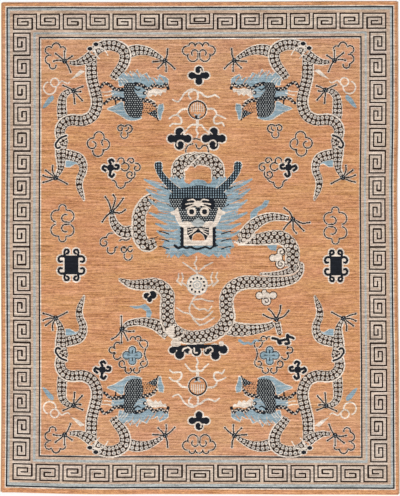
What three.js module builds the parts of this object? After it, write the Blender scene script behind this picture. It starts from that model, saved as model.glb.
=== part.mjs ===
// A hand-knotted wool carpet lying flat on the floor with its pile side up.
// Millimetres, +Z up. The origin is on the floor under the middle of the carpet,
// +X runs along the rows of knots and +Y along the warps.
import * as THREE from 'three';

// Driving dimensions
const CARPET_WIDTH = 2398;
const CARPET_LENGTH = 2965;
const CORNER_RADIUS = 14;
const FOUNDATION_THICKNESS = 3;
const PILE_HEIGHT = 6;

// Wool of the pile, averaged over its orange field
const PILE_COLOUR = 0xc8996f;
const WOOL_ROUGHNESS = 0.95;

// How finely the outline is stepped
const STEPS_PER_SIDE = 24;
const STEPS_PER_CORNER = 5;

const halfWidth = CARPET_WIDTH / 2;
const halfLength = CARPET_LENGTH / 2;
const pileTop = FOUNDATION_THICKNESS + PILE_HEIGHT;

// The four sides, anticlockwise seen from above, each with its start corner and its inward
// direction. The insets say how far the woven edge lies inside its box at evenly spaced
// places from the side's start to its end, because no edge of the carpet is quite straight.
const SIDES = [
  {
    name: 'front end',
    start: [-halfWidth, -halfLength],
    inward: [0, 1],
    insets: [18, 8.5, 3.5, 5, 4.5, 4, 2, 2, 0],
  },
  {
    name: 'right side',
    start: [halfWidth, -halfLength],
    inward: [-1, 0],
    insets: [0, 3, 4, 9, 11.5, 14, 8.5, 8, 9.5],
  },
  {
    name: 'back end',
    start: [halfWidth, halfLength],
    inward: [0, -1],
    insets: [0, 0.5, 2, 4, 5.5, 7, 7, 6.5, 8],
  },
  {
    name: 'left side',
    start: [-halfWidth, halfLength],
    inward: [1, 0],
    insets: [4, 5, 6, 4.5, 3, 4.5, 5.5, 4, 0],
  },
];

// The carpet's edge in section, from the floor up to the pile, as distances in from the woven
// edge and heights. A long side has the round overcast selvedge, a groove and then the pile.
// At an end the foundation is turned under, so the pile runs out to the fold.
const EDGE_SECTION = [
  { place: 'underside rim', sideIn: 3.0, sideUp: 0, endIn: 2.4, endUp: 0 },
  { place: 'lower round', sideIn: 0.8, sideUp: 1.2, endIn: 0.6, endUp: 1.0 },
  { place: 'outermost yarn', sideIn: 0, sideUp: 3.2, endIn: 0, endUp: 2.6 },
  { place: 'upper round', sideIn: 0.8, sideUp: 5.4, endIn: 0.2, endUp: 4.2 },
  { place: 'selvedge crown', sideIn: 3.2, sideUp: 6.6, endIn: 0.8, endUp: 5.6 },
  { place: 'selvedge shoulder', sideIn: 6.4, sideUp: 6.4, endIn: 1.6, endUp: 6.8 },
  { place: 'groove', sideIn: 8.6, sideUp: 5.4, endIn: 2.8, endUp: 7.8 },
  { place: 'first knots', sideIn: 9.4, sideUp: 7.4, endIn: 4.4, endUp: 8.6 },
  { place: 'pile shoulder', sideIn: 12.5, sideUp: pileTop, endIn: 7.0, endUp: pileTop },
];

// The point where one side ends and the next begins, inside the box by the insets of both.
function cornerPoint(ending, starting) {
  const lastInset = ending.insets[ending.insets.length - 1];
  return new THREE.Vector2(...starting.start)
    .addScaledVector(new THREE.Vector2(...ending.inward), lastInset)
    .addScaledVector(new THREE.Vector2(...starting.inward), starting.insets[0]);
}

// One side as a smooth line from corner to corner.
function sideCurve(index, corners) {
  const nextIndex = (index + 1) % SIDES.length;
  const side = SIDES[index];
  const inward = new THREE.Vector2(...side.inward);
  const start = new THREE.Vector2(...side.start);
  const end = new THREE.Vector2(...SIDES[nextIndex].start);
  const points = side.insets.map((inset, i) => {
    const along = start.clone().lerp(end, i / (side.insets.length - 1));
    return along.addScaledVector(inward, inset);
  });
  points[0] = corners[index];
  points[points.length - 1] = corners[nextIndex];
  return new THREE.SplineCurve(points);
}

// The share of a side's curve that its rounded corner takes.
function cornerShare(curve) {
  return CORNER_RADIUS / curve.getLength();
}

// The carpet's outline seen from above, anticlockwise, with its corners rounded and its
// box centred on the origin.
function carpetOutline() {
  const sideCount = SIDES.length;
  const corners = SIDES.map((side, i) => cornerPoint(SIDES[(i + sideCount - 1) % sideCount], side));
  const curves = SIDES.map((side, i) => sideCurve(i, corners));
  const outline = [];
  curves.forEach((curve, i) => {
    const share = cornerShare(curve);
    for (let step = 0; step < STEPS_PER_SIDE; step += 1) {
      outline.push(curve.getPoint(share + (1 - 2 * share) * (step / STEPS_PER_SIDE)));
    }
    const nextCurve = curves[(i + 1) % sideCount];
    const bend = new THREE.QuadraticBezierCurve(
      curve.getPoint(1 - share),
      corners[(i + 1) % sideCount],
      nextCurve.getPoint(cornerShare(nextCurve)),
    );
    for (let step = 0; step < STEPS_PER_CORNER; step += 1) {
      outline.push(bend.getPoint(step / STEPS_PER_CORNER));
    }
  });
  const middle = new THREE.Box2().setFromPoints(outline).getCenter(new THREE.Vector2());
  return outline.map((point) => point.sub(middle));
}

// The inward direction at each point of an anticlockwise outline.
function inwardDirections(outline) {
  return outline.map((point, i) => {
    const before = outline[(i + outline.length - 1) % outline.length];
    const after = outline[(i + 1) % outline.length];
    const along = after.clone().sub(before).normalize();
    return new THREE.Vector2(-along.y, along.x);
  });
}

// One ring of points round the carpet at one level of its edge section.
function edgeRing(level, outline, inward) {
  return outline.map((point, i) => {
    const sideShare = inward[i].x ** 2;
    const inset = THREE.MathUtils.lerp(level.endIn, level.sideIn, sideShare);
    const height = THREE.MathUtils.lerp(level.endUp, level.sideUp, sideShare);
    const placed = point.clone().addScaledVector(inward[i], inset);
    return new THREE.Vector3(placed.x, placed.y, height);
  });
}

// One closed body: the edge section carried round the outline, a flat underside and a flat top.
function carpetGeometry() {
  const outline = carpetOutline();
  const inward = inwardDirections(outline);
  const rings = EDGE_SECTION.map((level) => edgeRing(level, outline, inward));
  const count = outline.length;
  const faces = [];
  for (let level = 0; level < rings.length - 1; level += 1) {
    for (let i = 0; i < count; i += 1) {
      const low = level * count + i;
      const lowNext = level * count + ((i + 1) % count);
      faces.push(low, lowNext, lowNext + count);
      faces.push(low, lowNext + count, low + count);
    }
  }
  const topStart = (rings.length - 1) * count;
  THREE.ShapeUtils.triangulateShape(rings[rings.length - 1], []).forEach(([a, b, c]) => {
    faces.push(topStart + a, topStart + b, topStart + c);
  });
  THREE.ShapeUtils.triangulateShape(rings[0], []).forEach(([a, b, c]) => {
    faces.push(c, b, a);
  });
  const geometry = new THREE.BufferGeometry().setFromPoints(rings.flat());
  geometry.setIndex(faces);
  geometry.computeVertexNormals();
  return geometry;
}

function woolMaterial() {
  return new THREE.MeshStandardMaterial({
    color: PILE_COLOUR,
    roughness: WOOL_ROUGHNESS,
    metalness: 0,
  });
}

const carpet = new THREE.Mesh(carpetGeometry(), woolMaterial());
carpet.name = 'carpet';

const part = new THREE.Group();
part.add(carpet);

export default part;
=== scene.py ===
# A hand-knotted wool carpet lying flat, pile up. Its ornament is five dragons with pearls and
# clouds in a key-fret border. The ornament is drawn below with curves and shapes on a weaver's
# chart, one place for each knot, and the pile mesh carries that chart in its faces.
import math

import bpy
import numpy as np
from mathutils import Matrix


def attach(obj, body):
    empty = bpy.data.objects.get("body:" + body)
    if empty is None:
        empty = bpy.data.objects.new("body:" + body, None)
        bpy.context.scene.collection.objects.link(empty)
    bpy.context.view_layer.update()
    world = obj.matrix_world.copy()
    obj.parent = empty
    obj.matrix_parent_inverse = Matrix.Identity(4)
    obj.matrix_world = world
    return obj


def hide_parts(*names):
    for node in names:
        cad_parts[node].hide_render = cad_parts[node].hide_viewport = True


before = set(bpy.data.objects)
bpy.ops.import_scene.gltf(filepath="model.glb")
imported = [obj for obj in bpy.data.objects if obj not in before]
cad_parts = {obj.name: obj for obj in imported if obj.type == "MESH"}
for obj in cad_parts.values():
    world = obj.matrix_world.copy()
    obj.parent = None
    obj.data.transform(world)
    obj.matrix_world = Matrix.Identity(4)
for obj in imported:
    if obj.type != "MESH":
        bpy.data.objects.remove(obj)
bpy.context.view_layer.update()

# The chart: one number for each knot, which is its colour's place in this list
FIELD, CREAM, NAVY, BLUE, GROUND, BROWN, GREY, TAN = range(8)
COLUMNS = 800
ROWS = 990

# The scales of a body wide enough for one, two or three rows of them. Row gaps and scale widths
# are shares of the body's half width, and the rest is in knots.
TWO_ROWS_FROM = 6
THREE_ROWS_FROM = 10.8
ROW_GAP = (1.7, 0.96, 0.59)
SCALE_PITCH = (7.4, 8.7, 11.6)
SCALE_WIDTH = (0.72, 0.4, 0.315)
SCALE_LENGTH = (2.8, 3.45, 4.3)
MIDDLE_SCALE_WIDTH = 0.28
MIDDLE_SCALE_LENGTH = 3.2

# Dots woven into the dark parts, and dots strung along a dark line
DOT_ACROSS = 4.8
DOT_UP = 4
DOT_SIZE = 2.0
STRING_PITCH = 4.8
STRING_SWING = 1.8
STRING_DOT = 1.7


def smooth(points, closed=False, step=2.0):
    """A smooth line through a few points, as points about step knots apart."""
    points = np.asarray(points, float)
    if closed:
        padded = np.vstack([points[-1], points, points[:2]])
    else:
        padded = np.vstack([2 * points[0] - points[1], points, 2 * points[-1] - points[-2]])
    line = []
    for a, b, c, d in zip(padded, padded[1:], padded[2:], padded[3:]):
        pieces = max(1, int(np.ceil(np.hypot(*(c - b)) / step)))
        t = np.arange(pieces)[:, None] / pieces
        line.append(
            b
            + 0.5 * t * (c - a)
            + 0.5 * t**2 * (2 * a - 5 * b + 4 * c - d)
            + 0.5 * t**3 * (3 * b - a - 3 * c + d)
        )
    line.append(padded[-2:-1])
    return np.vstack(line)


def around(x, y, radius, angle):
    """Points round a centre, at angles in radians."""
    return np.column_stack([x + radius * np.cos(angle), y + radius * np.sin(angle)])


def arc(centre, radius, start, end, step=2.0):
    """Points along a circle's arc between two angles in degrees."""
    sweep = math.radians(end - start)
    pieces = max(3, int(abs(sweep) * radius / step) + 1)
    return around(*centre, radius, math.radians(start) + sweep * np.linspace(0, 1, pieces))


def oval(centre, wide, tall):
    """Points round an oval, given half its width and half its height."""
    return arc((0, 0), 1.0, 0, 345, step=0.2) * (wide, tall) + centre


def spiral(x, y, outer, inner, start, turns, step=1.5):
    """Points along a spiral that winds in from its outer radius. Negative turns wind clockwise."""
    pieces = max(8, int(abs(turns) * 2 * math.pi * outer / step))
    t = np.linspace(0, 1, pieces)
    return around(x, y, outer + (inner - outer) * t, math.radians(start) + turns * 2 * math.pi * t)


def box(left, low, right, high):
    """A rectangle's four corners."""
    return [(left, low), (right, low), (right, high), (left, high)]


def dotted(x, y, across=DOT_ACROSS, size=DOT_SIZE):
    """Which places lie on staggered dots."""
    shift = (np.floor(y / DOT_UP) % 2) * across / 2
    return ((x + shift) % across < size) & (y % DOT_UP < size)


class Pen:
    """Draws on the chart in knots from its own middle, mirrored and scaled."""

    def __init__(self, knots, scale=(1, 1), offset=(0, 0)):
        self.knots = knots
        self.scale = np.array(scale, float)
        self.offset = np.array(offset, float)

    def at(self, place, flip=(1, 1), size=1):
        """A pen whose own middle is at a place of this one."""
        return Pen(self.knots, self.scale * flip * size, self.put(place))

    def halves(self):
        """A pen for the left half of a motif and one for the right, each drawn as the right."""
        return self.at((0, 0), flip=(-1, 1)), self

    def put(self, points):
        """Where points of this pen lie on the chart."""
        return np.asarray(points, float) * self.scale + self.offset

    def window(self, line, margin):
        """The chart's part within a margin round a line, and the places of its knots."""
        low = line.min(axis=0) - margin
        high = line.max(axis=0) + margin
        c0 = max(0, int(low[0] + COLUMNS / 2))
        c1 = min(COLUMNS, int(high[0] + COLUMNS / 2) + 2)
        r0 = max(0, int(low[1] + ROWS / 2))
        r1 = min(ROWS, int(high[1] + ROWS / 2) + 2)
        columns = np.arange(c0, c1) + 0.5 - COLUMNS / 2
        rows = np.arange(r0, r1) + 0.5 - ROWS / 2
        return self.knots[r0:r1, c0:c1], *np.meshgrid(columns, rows)

    def nearest(self, line, margin):
        """The chart's part round a line, each knot's distance to the line, how far along the
        line it lies, its signed distance, and the line's length."""
        part, x, y = self.window(line, margin)
        best = np.full(x.shape, 1e9)
        along = np.zeros(x.shape)
        side = np.zeros(x.shape)
        start = 0.0
        for a, b in zip(line[:-1], line[1:]):
            length = np.hypot(*(b - a))
            if length < 1e-9:
                continue
            d = (b - a) / length
            t = np.clip((x - a[0]) * d[0] + (y - a[1]) * d[1], 0, length)
            dx = x - a[0] - t * d[0]
            dy = y - a[1] - t * d[1]
            distance = np.hypot(dx, dy)
            closer = distance < best
            best = np.where(closer, distance, best)
            along = np.where(closer, start + t, along)
            side = np.where(closer, d[0] * dy - d[1] * dx, side)
            start += length
        return part, best, along / max(start, 1e-9), side, start

    def inside(self, line):
        """The chart's part round a closed line, which knots lie inside it, and their places."""
        part, x, y = self.window(line, 1)
        within = np.zeros(x.shape, bool)
        for (ax, ay), (bx, by) in zip(line, np.roll(line, -1, axis=0)):
            if ay != by:
                crosses = (ay > y) != (by > y)
                within ^= crosses & (x < ax + (y - ay) * (bx - ax) / (by - ay))
        return part, within, x, y

    def line(self, points, colour, width, end=None, soft=True):
        """A line of one width, or that tapers to an end width."""
        placed = self.put(smooth(points) if soft and len(points) > 2 else points)
        part, distance, share, _, _ = self.nearest(placed, max(width, end or 0) / 2 + 1)
        reach = width if end is None else width + (end - width) * share
        part[distance <= reach / 2] = colour

    def bands(self, lines, *bands):
        """Lines drawn together, one band of (colour, width) after another, so that the edge of
        one never covers the middle of the next."""
        for colour, width in bands:
            for points in lines:
                self.line(points, colour, width)

    def shape(self, points, colour, edge=None, edge_width=1.2, soft=True, dots=None):
        """A filled outline, with an edge of another colour round it and dots of a third."""
        outline = self.put(smooth(points, closed=True) if soft else points)
        if edge is not None:
            part, distance, _, _, _ = self.nearest(np.vstack([outline, outline[:1]]), edge_width + 1)
            part[distance <= edge_width] = edge
        part, within, x, y = self.inside(outline)
        part[within] = colour
        if dots is not None:
            part[within & dotted(x, y)] = dots

    def disc(self, centre, radius, colour, tall=None):
        """A filled circle, or an oval with its own height."""
        rim = arc(centre, radius, 0, 345) if tall is None else oval(centre, radius, tall)
        self.shape(rim, colour, soft=False)

    def ring(self, centre, radius, colour, width):
        """A circle drawn as a line."""
        self.line(arc(centre, radius, 0, 360), colour, width, soft=False)

    def dark_line(self, points, width, end):
        """A tapering dark line with pale dots that zigzag a little along it."""
        self.line(points, NAVY, width, end)
        for i, point in enumerate(smooth(points, step=STRING_PITCH)[1:-1]):
            self.disc(point + (0, STRING_SWING if i % 2 else -STRING_SWING), STRING_DOT, GROUND)

    def scales(self, points, widths, rims=(2.2, 2.2)):
        """A body along a line: a pale rim on its left and right, and rows of round scales with
        dark seams. The wider the body, the more rows it has."""
        placed = self.put(smooth(points))
        part, distance, share, signed, length = self.nearest(placed, max(widths) / 2 + max(rims) + 1)
        half = np.interp(share, np.linspace(0, 1, len(widths)), widths) / 2
        flipped = self.scale.prod() < 0
        rim = np.where((signed > 0) != flipped, rims[0], rims[1])
        inside = (share * length > 0.2) & (share * length < length - 0.2) | (distance < 2)
        part[inside & (distance > half) & (distance <= half + rim)] = CREAM
        body = inside & (distance <= half)
        part[body] = BROWN

        # the distance to the nearest scale's centre, as a share of that scale's size
        sort = (half > TWO_ROWS_FROM) * 1 + (half > THREE_ROWS_FROM)
        gap = np.choose(sort, ROW_GAP) * half
        pitch = np.choose(sort, SCALE_PITCH)
        across = signed / gap + np.where(sort == 1, 0.5, 0)
        best = np.full(across.shape, 9.0)
        for step in (-1, 0, 1):
            row = np.round(across) + step
            small = (sort == 2) & (row == 0)
            wide = np.where(small, MIDDLE_SCALE_WIDTH, np.choose(sort, SCALE_WIDTH)) * half
            long = np.where(small, MIDDLE_SCALE_LENGTH, np.choose(sort, SCALE_LENGTH))
            along = share * length / pitch - np.where(sort == 2, (row % 2) / 2, 0)
            off_along = (along - np.round(along)) * pitch
            off_across = (across - row) * gap
            best = np.minimum(best, (off_along / long) ** 2 + (off_across / wide) ** 2)
        for size, colour in ((1, GROUND), (0.25, GREY), (0.05, BROWN)):
            part[body & (best < size)] = colour


def lobes(pen, circles, fill, edge, edge_width):
    """A cloud: several circles run together, with an edge round them all."""
    for colour, extra in ((edge, edge_width), (fill, 0)):
        for x, y, radius in circles:
            pen.disc((x, y), radius + extra, colour)


# The border's stripes from the edge inwards, with their widths in knots on each side
STRIPES = [
    # colour, left, right, top, bottom
    (FIELD, 9, 8, 8, 10),
    (CREAM, 2, 2, 2, 2),
    (NAVY, 3, 3, 3, 3),
    (GREY, 4, 4, 4, 6),
    (TAN, 6, 7, 6, 4),
    (GROUND, 36, 35, 33, 35),
    (TAN, 5, 5, 5, 4),
    (GREY, 5, 4, 4, 5),
    (TAN, 6, 6, 5, 5),
    (NAVY, 3, 3, 3, 3),
    (CREAM, 2, 1, 2, 1),
]

# The key fret lies in this stripe. The pitch is that of the lines inside a coil, and the gap lies
# between one unit and the next.
FRET_STRIPE = 5
FRET_LINE = 3.2
FRET_PITCH = 8.3
FRET_GAP = 8.0
FRET_MARGIN = 1.2
SIDE_UNITS = 9
END_PAIRS = 3
END_MIDDLE = 148.0
END_COIL = 46.4
CHANNEL_CLEARANCE = 2

# The widths of a thin outline and of the pale edge that it lies on
THIN_LINE = 2.5
PALE_EDGE = 4.6


def stripes(knots):
    """The nested stripes of the border, from the carpet's edges inwards. Gives the fret's own."""
    column = np.arange(COLUMNS)[None, :] + 0.5
    row = np.arange(ROWS)[:, None] + 0.5
    place = np.full((ROWS, COLUMNS), len(STRIPES))
    for side, depth in enumerate((column, COLUMNS - column, ROWS - row, row)):
        ends = np.cumsum([stripe[1 + side] for stripe in STRIPES])
        place = np.minimum(place, np.searchsorted(ends, depth, side="right"))
    for i, stripe in enumerate(STRIPES):
        knots[place == i] = stripe[0]
    return place == FRET_STRIPE


def coil(half, height):
    """One square coil of the fret, from its middle out to the top of the joining line."""
    p = FRET_PITCH
    return [
        (2 * p, height / 2), (half - 2 * p, height / 2), (half - 2 * p, height - p),
        (p, height - p), (p, p), (half - p, p), (half - p, height), (0, height), (0, 0), (half, 0),
    ]


def mirrored(line, length):
    """A line's mirror image at the far end of a length, drawn back from there."""
    return [(length - x, y) for x, y in reversed(line)]


def coil_pair(length, height):
    """Two square coils joined in an S."""
    first = coil(length / 2, height)
    return [first + [(x, height - y) for x, y in mirrored(first, length)]]


def facing_coils(length, height):
    """Two coils that mirror each other, with a line between them."""
    first = coil(length / 2, height)
    return [first + mirrored(first, length), [(length / 2, 0), (length / 2, height)]]


def end_middle(length, height):
    """The middle of an end's fret: nested boxes between two coils that mirror each other."""
    p = FRET_PITCH
    near = END_COIL + p
    far = length - near
    first = coil(END_COIL, height) + [(END_COIL, height)]
    outer = box(near, 0, far, height - 1.35 * p)
    core = box(near + p, p, far - p, 1.8 * p)
    return [first + mirrored(first, length), outer + outer[:1], core + core[:1]]


def fret_lines(pen, lines, start, along, across):
    """Draws lines given as (along, across) places from a start, in two directions."""
    for line in lines:
        points = [np.add(start, np.multiply(a, along) + np.multiply(b, across)) for a, b in line]
        pen.line(points, BROWN, FRET_LINE, soft=False)


def fret(pen):
    """The key fret, which runs alike from the middle of each side to its ends."""
    starts = [sum(stripe[1 + side] for stripe in STRIPES[:FRET_STRIPE]) for side in range(4)]
    outer = [start + FRET_MARGIN for start in starts]
    depth = [STRIPES[FRET_STRIPE][1 + side] - 2 * FRET_MARGIN for side in range(4)]
    left, right = -COLUMNS / 2 + outer[0], COLUMNS / 2 - outer[1]
    top, bottom = ROWS / 2 - outer[2], -ROWS / 2 + outer[3]

    # the two ends, whose coils open away from the field
    pitch = (right - left - END_MIDDLE) / (2 * END_PAIRS)
    for level, up, height in ((top, -1, depth[2]), (bottom, 1, depth[3])):
        pair = coil_pair(pitch - FRET_GAP, height)
        for i in range(END_PAIRS):
            fret_lines(pen, pair, (left + i * pitch, level), (1, 0), (0, up))
            fret_lines(pen, pair, (right - i * pitch, level), (-1, 0), (0, up))
        middle = (left + END_PAIRS * pitch, level)
        fret_lines(pen, end_middle(END_MIDDLE, height), middle, (1, 0), (0, up))

    # the two long sides
    high, low = top - depth[2] - FRET_GAP, bottom + depth[3] + FRET_GAP
    pitch = (high - low + FRET_GAP) / SIDE_UNITS
    length = pitch - FRET_GAP
    for level, over, height in ((left + depth[0], -1, depth[0]), (right - depth[1], 1, depth[1])):
        pair = coil_pair(length, height)
        for i in range(SIDE_UNITS // 2):
            fret_lines(pen, pair, (level, high - i * pitch), (0, -1), (over, 0))
            fret_lines(pen, pair, (level, low + i * pitch), (0, 1), (over, 0))
        middle = (level, high - SIDE_UNITS // 2 * pitch)
        fret_lines(pen, facing_coils(length, height), middle, (0, -1), (over, 0))


def spread(mask, reach):
    """A mask grown by a number of knots each way."""
    for axis in (0, 1):
        grown = mask.copy()
        for step in range(1, reach + 1):
            grown |= np.roll(mask, step, axis) | np.roll(mask, -step, axis)
        mask = grown
    return mask


def fret_channel(knots, band):
    """The faint line that runs along the middle of the ground between the fret's lines."""
    clear = ~spread(knots == BROWN, CHANNEL_CLEARANCE)
    knots[band & clear] = TAN


def toes(pen, palm, reaches, width=3.0):
    """Thin clawed toes, each through a knuckle to its knobbed tip, and a dotted palm."""
    for knuckle, tip in reaches:
        for colour, extra in ((GROUND, 2.4), (BROWN, 0)):
            pen.line([palm, knuckle, tip], colour, width + extra, 2.6 + extra)
            pen.disc(tip, 2.0 + extra / 2, colour)
    pen.disc(palm, 5.2, NAVY)
    for dot in ((-2, 1), (2, 2), (1, -2)):
        pen.disc(np.add(palm, dot), 1.1, GREY)


def outlined(pen, strokes):
    """Thin dark strokes with a pale edge, drawn together."""
    pen.bands(strokes, (GROUND, PALE_EDGE), (BROWN, THIN_LINE))


# The outlined clouds are spirals that touch: middle, outer and inner radius, the angle in degrees
# where each one starts and its turns, which are positive anticlockwise
SMALL_CLOUD = [
    # x, y, outer, inner, start, turns
    (159.5, 240.5, 7.6, 3, 140, -0.95),
    (144.5, 240, 8, 8, 40, 0.64),
    (149, 241, 5, 5, 160, 0.3),
    (152, 228, 7, 7, 40, -0.7),
]
SIDE_CLOUD = [
    (203, 224, 10, 10, -10, 0.57),
    (190, 212.5, 7.5, 7.5, 42, -0.23),
    (193, 208.5, 11, 11, 95, 0.52),
    (216, 209, 12.5, 5, 98, -1),
    (205, 195, 10.5, 10.5, 10, -0.56),
]
LOOSE_SCROLLS = [
    (158.6, 175, 6.3, 6.3, -8, 0.72),
    (138, 175, 7.4, 2.5, 0, 0.95),
    (150.6, 163.5, 8, 8, 55, 0.76),
    (127.5, 161.5, 9.5, 2.5, 75, 1),
    (140, 148, 10, 3, 150, 1.25),
    (177, 127.5, 9.4, 9.4, 95, 0.2),
    (159, 129.5, 9, 9, 0, -0.53),
    (150, 147, 15.5, 15.5, 217, 0.14),
]
LEFT_SCROLLS = [
    (-178, 21, 9.3, 9.3, 172, -0.28),
    (-191.5, 11, 11, 3, 65, 1.05),
    (-178.3, -3.5, 7.8, 7.8, 145, 0.62),
    (-166, -3, 5.3, 5.3, 150, -0.17),
    (-152, -3.3, 6.4, 4, 80, 1.05),
    (-139.5, -2.3, 6, 4, 60, 0.8),
    (-144, -16, 8, 8, 150, 0.6),
]
CORNER_CLOUD = [
    (303.5, 398, 7.4, 7.4, -80, 0.6),
    (289, 404.5, 8, 8, 10, 0.48),
    (276.5, 398.5, 6.6, 6.6, 60, 0.47),
    (302, 379, 9, 9, 100, -0.5),
    (296, 367, 6.6, 6.6, 20, -0.58),
]
HALF_FIELD_CLOUD = [
    (8, -2, 6.5, 6.5, 180, -0.6),
    (12, -8.5, 10.4, 10.4, 195, 0.52),
    (23.5, 3, 9.3, 9.3, -90, 0.5),
    (14, 13, 6, 6, 0, 0.53),
    (0, 11, 7.4, 7.4, 10, 0.22),
]


def spirals(pen, table):
    """An outlined cloud from its table of spirals."""
    outlined(pen, [spiral(*row) for row in table])


def corner_head(pen):
    """The corner dragon's head, drawn looking along +x from its own middle."""
    # the mane above, between the horns and below
    pen.shape([
        (-45, 36), (-34, 47), (-26, 40), (-20, 50), (-15, 39), (-6, 53), (-1, 39),
        (13, 46), (18, 37), (28, 36), (35, 31), (39, 43), (50, 38), (56, 33), (56, 24),
        (46, 20), (28, 24), (18, 18), (12, 17), (2, 24), (-10, 27), (-28, 22), (-42, 20),
    ], BLUE, edge=CREAM, soft=False)
    for x, y in ((-22, 46), (-9, 48), (9, 42), (23, 36), (40, 38)):
        pen.line([(x, y), (x + 5, y - 6), (x + 8, y - 12)], FIELD, 3, 1)
        pen.line([(x - 6, y + 1), (x - 1, y - 6), (x + 2, y - 12)], GREY, 1.8, 1)
    for shift in (0, 6, 12):
        pen.line([(-44 + shift, 35), (-38 + shift, 29), (-34 + shift, 21)], CREAM, 1.6)
    pen.shape([(-58, 11), (-46, 14), (-34, 12), (-32, -5), (-46, -6), (-57, -3)], BLUE, soft=False)
    pen.line([(-77, 8), (-66, 8), (-57, 11)], CREAM, 2.4)
    pen.line([(-72, 1), (-62, 2), (-54, 5)], CREAM, 2.0)
    pen.line([(-68, -6), (-58, -3), (-50, 0)], CREAM, 1.8)
    pen.shape([
        (-66, -26), (-52, -20), (-36, -12), (-32, -28), (-22, -40),
        (2, -43), (-8, -48), (-24, -48), (-38, -40), (-52, -32),
    ], BLUE, edge=CREAM, edge_width=1.4)
    strands = [
        [(-60, -26), (-48, -22), (-37, -17)], [(-52, -30), (-43, -29), (-34, -29)],
        [(-40, -38), (-28, -44), (-12, -46)], [(-57, 7), (-46, 8), (-34, 5)],
        [(-55, 0), (-45, 1), (-34, -1)], [(-36, 42), (-32, 34), (-31, 26)],
        [(-14, 46), (-16, 36), (-14, 28)], [(0, 46), (2, 36), (0, 28)], [(50, 36), (48, 30), (42, 24)],
    ]
    for strand in strands:
        pen.line(strand, GREY, 2.2, 1.2)
    # the horns
    pen.line([(-50, -5), (-49, -17)], NAVY, 5, 3)
    pen.dark_line([(-79, 18), (-72, 26), (-60, 21), (-51, 14), (-36, 13)], 6.5, 7.5)
    pen.dark_line([(-72, -15), (-60, -6), (-48, -5), (-34, -7)], 6, 8)
    # cheek, eye and mouth
    pen.shape([(-14, 18), (2, 20), (14, 13), (13, 0), (4, -7), (-10, -4)], BLUE)
    pen.line([(-8, 8), (2, 7), (12, 9)], GREY, 2.0, 1.2)
    pen.line([(-6, 0), (3, 2), (11, 3)], GREY, 2.0, 1.2)
    pen.shape(
        [(-8, -4), (6, -8), (28, -18), (28, -38), (6, -36), (0, -20)], FIELD, soft=False, dots=NAVY
    )
    pen.shape([
        (16, 11), (24, 14), (32, 15), (40, 13), (54, 14), (51, 7),
        (45, 8), (41, 0), (35, 4), (31, -1), (26, 3), (20, -2), (15, -2),
    ], CREAM, soft=False)
    pen.line([(12, 13), (15, -2), (30, -12)], CREAM, 2.2)
    # snout, lower jaw and jowl
    snout = [(-10, 24), (2, 22), (14, 15), (20, 16), (28, 22), (38, 19), (45, 19), (52, 24), (56, 15)]
    pen.dark_line(snout, 8, 6)
    pen.dark_line([(-8, -6), (10, -9), (22, -12), (30, -19), (35, -28), (36, -48)], 9, 4)
    pen.shape([(14, -35), (31, -27), (37, -48)], NAVY, soft=False, dots=GREY)
    pen.shape(
        [(37, -18), (46, -16), (47, -27), (43, -36), (41, -48), (37, -46), (35, -30)],
        BLUE, edge=CREAM, soft=False
    )
    pen.shape([
        (-30, 25), (-11, 25), (-12, 12), (-6, 2), (3, -8), (6, -20), (4, -32),
        (2, -42), (-12, -44), (-24, -39), (-32, -24), (-32, -6), (-34, 10),
    ], NAVY, dots=GREY)
    for x, y in ((12, -24), (20, -28), (14, -33), (24, -20)):
        pen.disc((x, y), 1.5, NAVY)
    pen.line([(-14, 18), (-6, 12), (0, 14)], NAVY, 3)
    pen.disc((9, 6), 4.2, NAVY)
    pen.disc((10, 6), 2.0, CREAM)


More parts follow.
